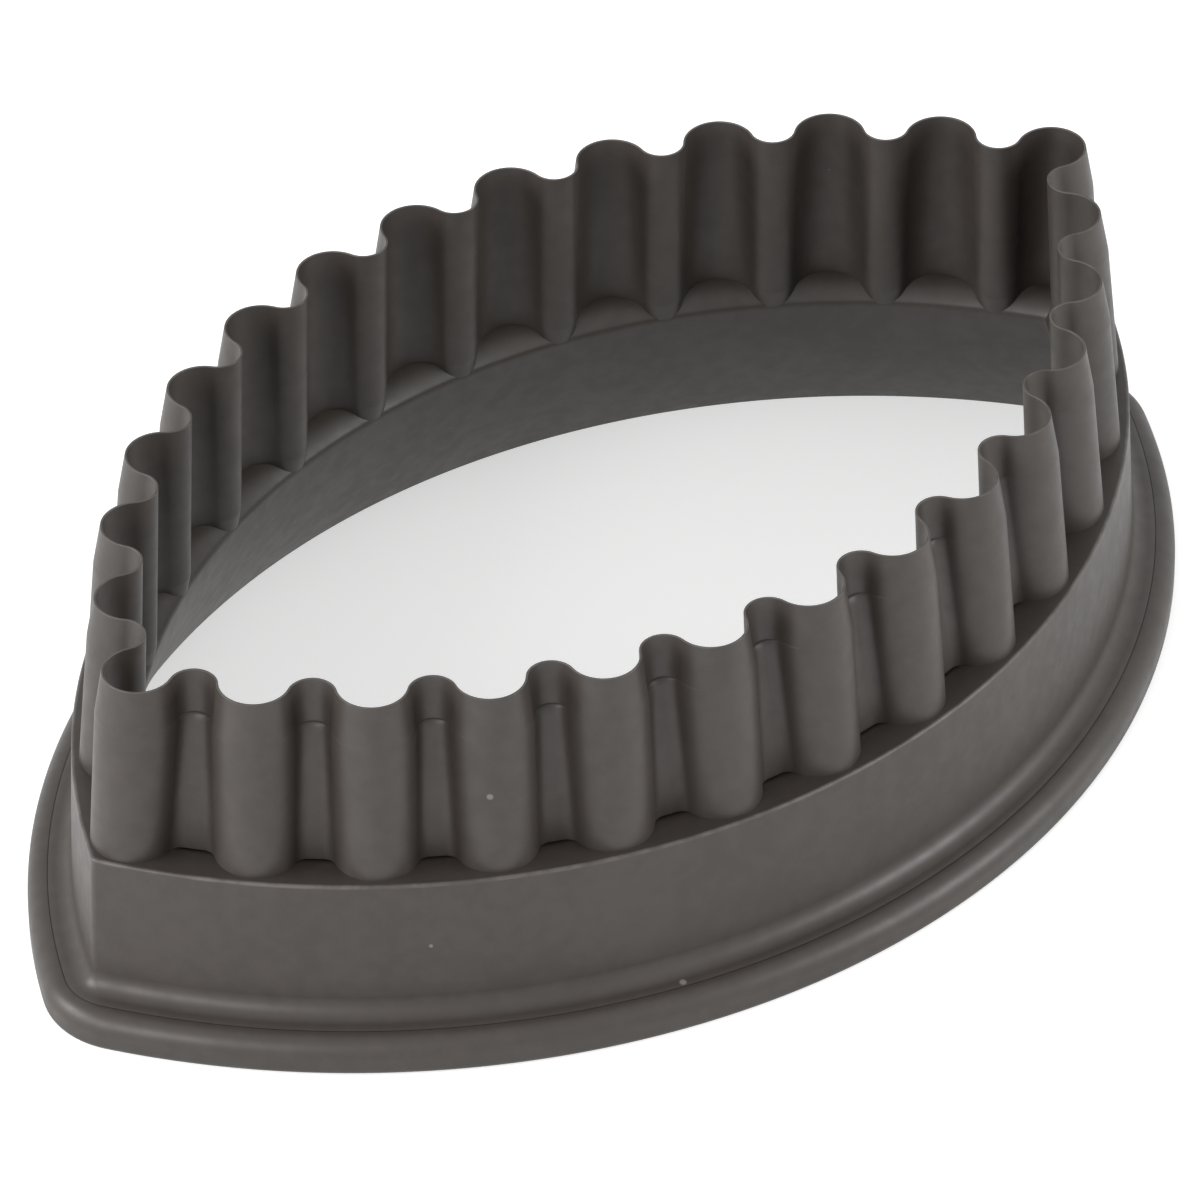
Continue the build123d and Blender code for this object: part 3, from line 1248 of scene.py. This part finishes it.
@dataclass(frozen=True)
class CompositeFinish:
    """The dark glass-filled plastic: satin, finely grained, a little cloudy, with edges lightened
    in patches by rubbing and by a painted highlight.
    """

    name: str = "dark_composite"
    dark: tuple[float, float, float] = (0.032, 0.0262, 0.0225)
    light: tuple[float, float, float] = (0.038, 0.0315, 0.0275)
    # Colour of the lightened edges: rubbing, and a painted highlight on the ledge's soft edge.
    rubbed_and_highlight: tuple[float, float, float] = (0.075, 0.068, 0.063)
    pale: tuple[float, float, float] = (0.145, 0.136, 0.128)
    mottle_range: tuple[float, float] = (0.38, 0.62)
    roughness: tuple[float, float] = (0.42, 0.50)
    roughness_range: tuple[float, float] = (0.3, 0.7)
    sheen_level: float = 0.5
    bump_strength: float = 0.22
    bump_distance: float = 0.03 * MM
    grain: MouldedGrain = MouldedGrain()
    wear_and_highlight: BrokenWearAndHighlight = BrokenWearAndHighlight()
    specks: PaleSpecks = PaleSpecks()

    def build(self) -> bpy.types.Material:
        """Makes the material.

        Returns:
            The material, with its patterns on the piece's own coordinates.
        """
        material = bpy.data.materials.new(self.name)
        material.use_nodes = True
        wiring = Wiring(material.node_tree)
        place = wiring.add("ShaderNodeTexCoord").outputs["Object"]
        edges = wiring.add("ShaderNodeAttribute", attribute_name=WEAR_AND_HIGHLIGHT).outputs["Fac"]
        given = {"Vector": place}
        grain = wiring.add("ShaderNodeGroup", given, node_tree=self.grain.group())
        specks = wiring.add("ShaderNodeGroup", given, node_tree=self.specks.group())
        given = {"Vector": place, "Wear": edges}
        worn_and_highlit = wiring.add("ShaderNodeGroup", given, node_tree=self.wear_and_highlight.group())

        mottle = wiring.ramp(grain.outputs["Mottle"], *self.mottle_range)
        colour = self._mix(wiring, mottle, (*self.dark, 1.0), (*self.light, 1.0))
        # Lightens the marked edges in patches: rubbing on the edges, and a painted highlight along
        # the ledge's soft edge.
        colour = self._mix(wiring, worn_and_highlit.outputs["Mask"], colour, (*self.rubbed_and_highlight, 1.0))
        colour = self._mix(wiring, specks.outputs["Mask"], colour, (*self.pale, 1.0))
        low, high = self.roughness
        roughness = wiring.ramp(grain.outputs["Mottle"], *self.roughness_range, high, low)
        bump = wiring.add(
            "ShaderNodeBump",
            {
                "Strength": self.bump_strength,
                "Distance": self.bump_distance,
                "Height": grain.outputs["Height"],
            },
        )
        shader = wiring.tree.nodes["Principled BSDF"]
        shader.inputs["Specular IOR Level"].default_value = self.sheen_level
        wiring.tree.links.new(colour, shader.inputs["Base Color"])
        wiring.tree.links.new(roughness, shader.inputs["Roughness"])
        wiring.tree.links.new(bump.outputs[0], shader.inputs["Normal"])
        return material

    @staticmethod
    def _mix(
        wiring: Wiring, share: object, first: object, second: object
    ) -> bpy.types.NodeSocket:
        """The blend of two colours.

        Args:
            wiring: the material's tree.
            share: share of the second colour.
            first: the first colour, or the socket that gives it.
            second: the second colour, or the socket that gives it.

        Returns:
            The socket of the blend.
        """
        mix = wiring.add("ShaderNodeMix", data_type="RGBA")
        for label, value in (("Factor", share), ("A", first), ("B", second)):
            kind = "VALUE" if label == "Factor" else "RGBA"
            socket = next(x for x in mix.inputs if x.name == label and x.type == kind)
            if isinstance(value, bpy.types.NodeSocket):
                wiring.tree.links.new(value, socket)
            else:
                socket.default_value = value
        return next(x for x in mix.outputs if x.type == "RGBA")


def seen_directly(wiring: Wiring) -> bpy.types.NodeSocket:
    """One for what the camera, a mirror or clear glass sees, and nought for other light.

    Args:
        wiring: tree of the material or the world.

    Returns:
        The socket of that value.
    """
    path = wiring.add("ShaderNodeLightPath").outputs
    either = wiring.math("MAXIMUM", path["Is Camera Ray"], path["Is Glossy Ray"])
    return wiring.math("MAXIMUM", either, path["Is Transmission Ray"])


@dataclass(frozen=True)
class Softbox:
    """A square area light: where it stands from the camera's side, its size and its power."""

    name: str
    azimuth: float
    elevation: float
    size: float
    power: float


@dataclass(frozen=True)
class Studio:
    """Floor, light and camera of a plain product photograph."""

    target: Vector = Vector((-5.4854 * MM, -4.7030 * MM, 18.10 * MM))
    distance: float = 964.4717 * MM
    azimuth: float = math.radians(-42.33626)
    elevation: float = math.radians(38.51345)
    roll: float = math.radians(-0.74081)
    lens: float = 338.919
    clip: tuple[float, float] = (0.01, 20.0)
    light_distance: float = 0.9
    surround: float = 0.72
    floor_reach: float = 6.0
    floor_grey: float = 0.7
    floor_roughness: float = 0.9
    floor_glow: float = 0.5
    softboxes: tuple[Softbox, ...] = (
        Softbox("left_light", -80.0, 20.0, 0.4, 6.4),
        Softbox("front_light", -35.0, 25.0, 0.4, 3.5),
        Softbox("right_light", 80.0, 20.0, 0.4, 4.4),
    )

    def axes(self) -> tuple[Vector, Vector, Vector]:
        """Directions of the camera.

        Returns:
            Its right, its up and its back.
        """
        flat = math.cos(self.elevation)
        back = Vector(
            (
                math.sin(self.azimuth) * flat,
                -math.cos(self.azimuth) * flat,
                math.sin(self.elevation),
            )
        )
        right = Vector((math.cos(self.azimuth), math.sin(self.azimuth), 0.0))
        up = back.cross(right)
        turned_right = right * math.cos(self.roll) + up * math.sin(self.roll)
        turned_up = up * math.cos(self.roll) - right * math.sin(self.roll)
        return turned_right, turned_up, back

    def place_camera(self) -> None:
        """Sets the camera at the photograph's viewing angle."""
        right, up, back = self.axes()
        data = bpy.data.cameras.new("camera")
        data.lens = self.lens
        data.clip_start, data.clip_end = self.clip
        camera = bpy.data.objects.new("camera", data)
        turn = Matrix((right, up, back)).transposed().to_4x4()
        camera.matrix_world = Matrix.Translation(self.target + back * self.distance) @ turn
        bpy.context.scene.collection.objects.link(camera)
        bpy.context.scene.camera = camera

    def place_lights(self) -> None:
        """Soft lights around the ring, turned from the camera's azimuth."""
        for box in self.softboxes:
            turn, rise = self.azimuth + math.radians(box.azimuth), math.radians(box.elevation)
            away = Vector(
                (math.sin(turn) * math.cos(rise), -math.cos(turn) * math.cos(rise), math.sin(rise))
            )
            data = bpy.data.lights.new(box.name, "AREA")
            data.shape = "SQUARE"
            data.size = box.size
            data.energy = box.power
            light = bpy.data.objects.new(box.name, data)
            light.location = self.target + away * self.light_distance
            light.rotation_euler = away.to_track_quat("Z", "Y").to_euler()
            bpy.context.scene.collection.objects.link(light)

    def lay_floor(self) -> None:
        """A plain floor that shows white and keeps the ring's shadow."""
        mesh = bpy.data.meshes.new("floor")
        far = self.floor_reach
        corners = [(-far, -far, 0), (far, -far, 0), (far, far, 0), (-far, far, 0)]
        mesh.from_pydata(corners, [], [(0, 1, 2, 3)])
        floor = bpy.data.objects.new("floor", mesh)
        bpy.context.scene.collection.objects.link(floor)
        material = bpy.data.materials.new("pale_floor")
        material.use_nodes = True
        tree = material.node_tree
        shader = tree.nodes["Principled BSDF"]
        shader.inputs["Base Color"].default_value = (*(self.floor_grey,) * 3, 1.0)
        shader.inputs["Roughness"].default_value = self.floor_roughness
        shader.inputs["Specular IOR Level"].default_value = 0.0
        shader.inputs["Emission Color"].default_value = WHITE
        wiring = Wiring(tree)
        level = wiring.math("MULTIPLY", seen_directly(wiring), self.floor_glow)
        tree.links.new(level, shader.inputs["Emission Strength"])
        mesh.materials.append(material)

    def light_world(self) -> None:
        """A white surround for the camera and a softer one for the light on the ring."""
        world = bpy.data.worlds.new("surround")
        bpy.context.scene.world = world
        world.use_nodes = True
        wiring = Wiring(world.node_tree)
        background = wiring.tree.nodes["Background"]
        background.inputs["Color"].default_value = WHITE
        values = {"Value": seen_directly(wiring), "To Min": self.surround, "To Max": 1.0}
        strength = wiring.add("ShaderNodeMapRange", values).outputs[0]
        wiring.tree.links.new(strength, background.inputs["Strength"])


def main() -> None:
    """Builds the cutter, then the studio round it."""
    logging.basicConfig(level=logging.INFO, format="%(message)s")
    Cutter().build(CompositeFinish().build())
    studio = Studio()
    studio.place_camera()
    studio.place_lights()
    studio.lay_floor()
    studio.light_world()
    bpy.context.scene.view_settings.view_transform = "Standard"


if __name__ == "__main__":
    main()
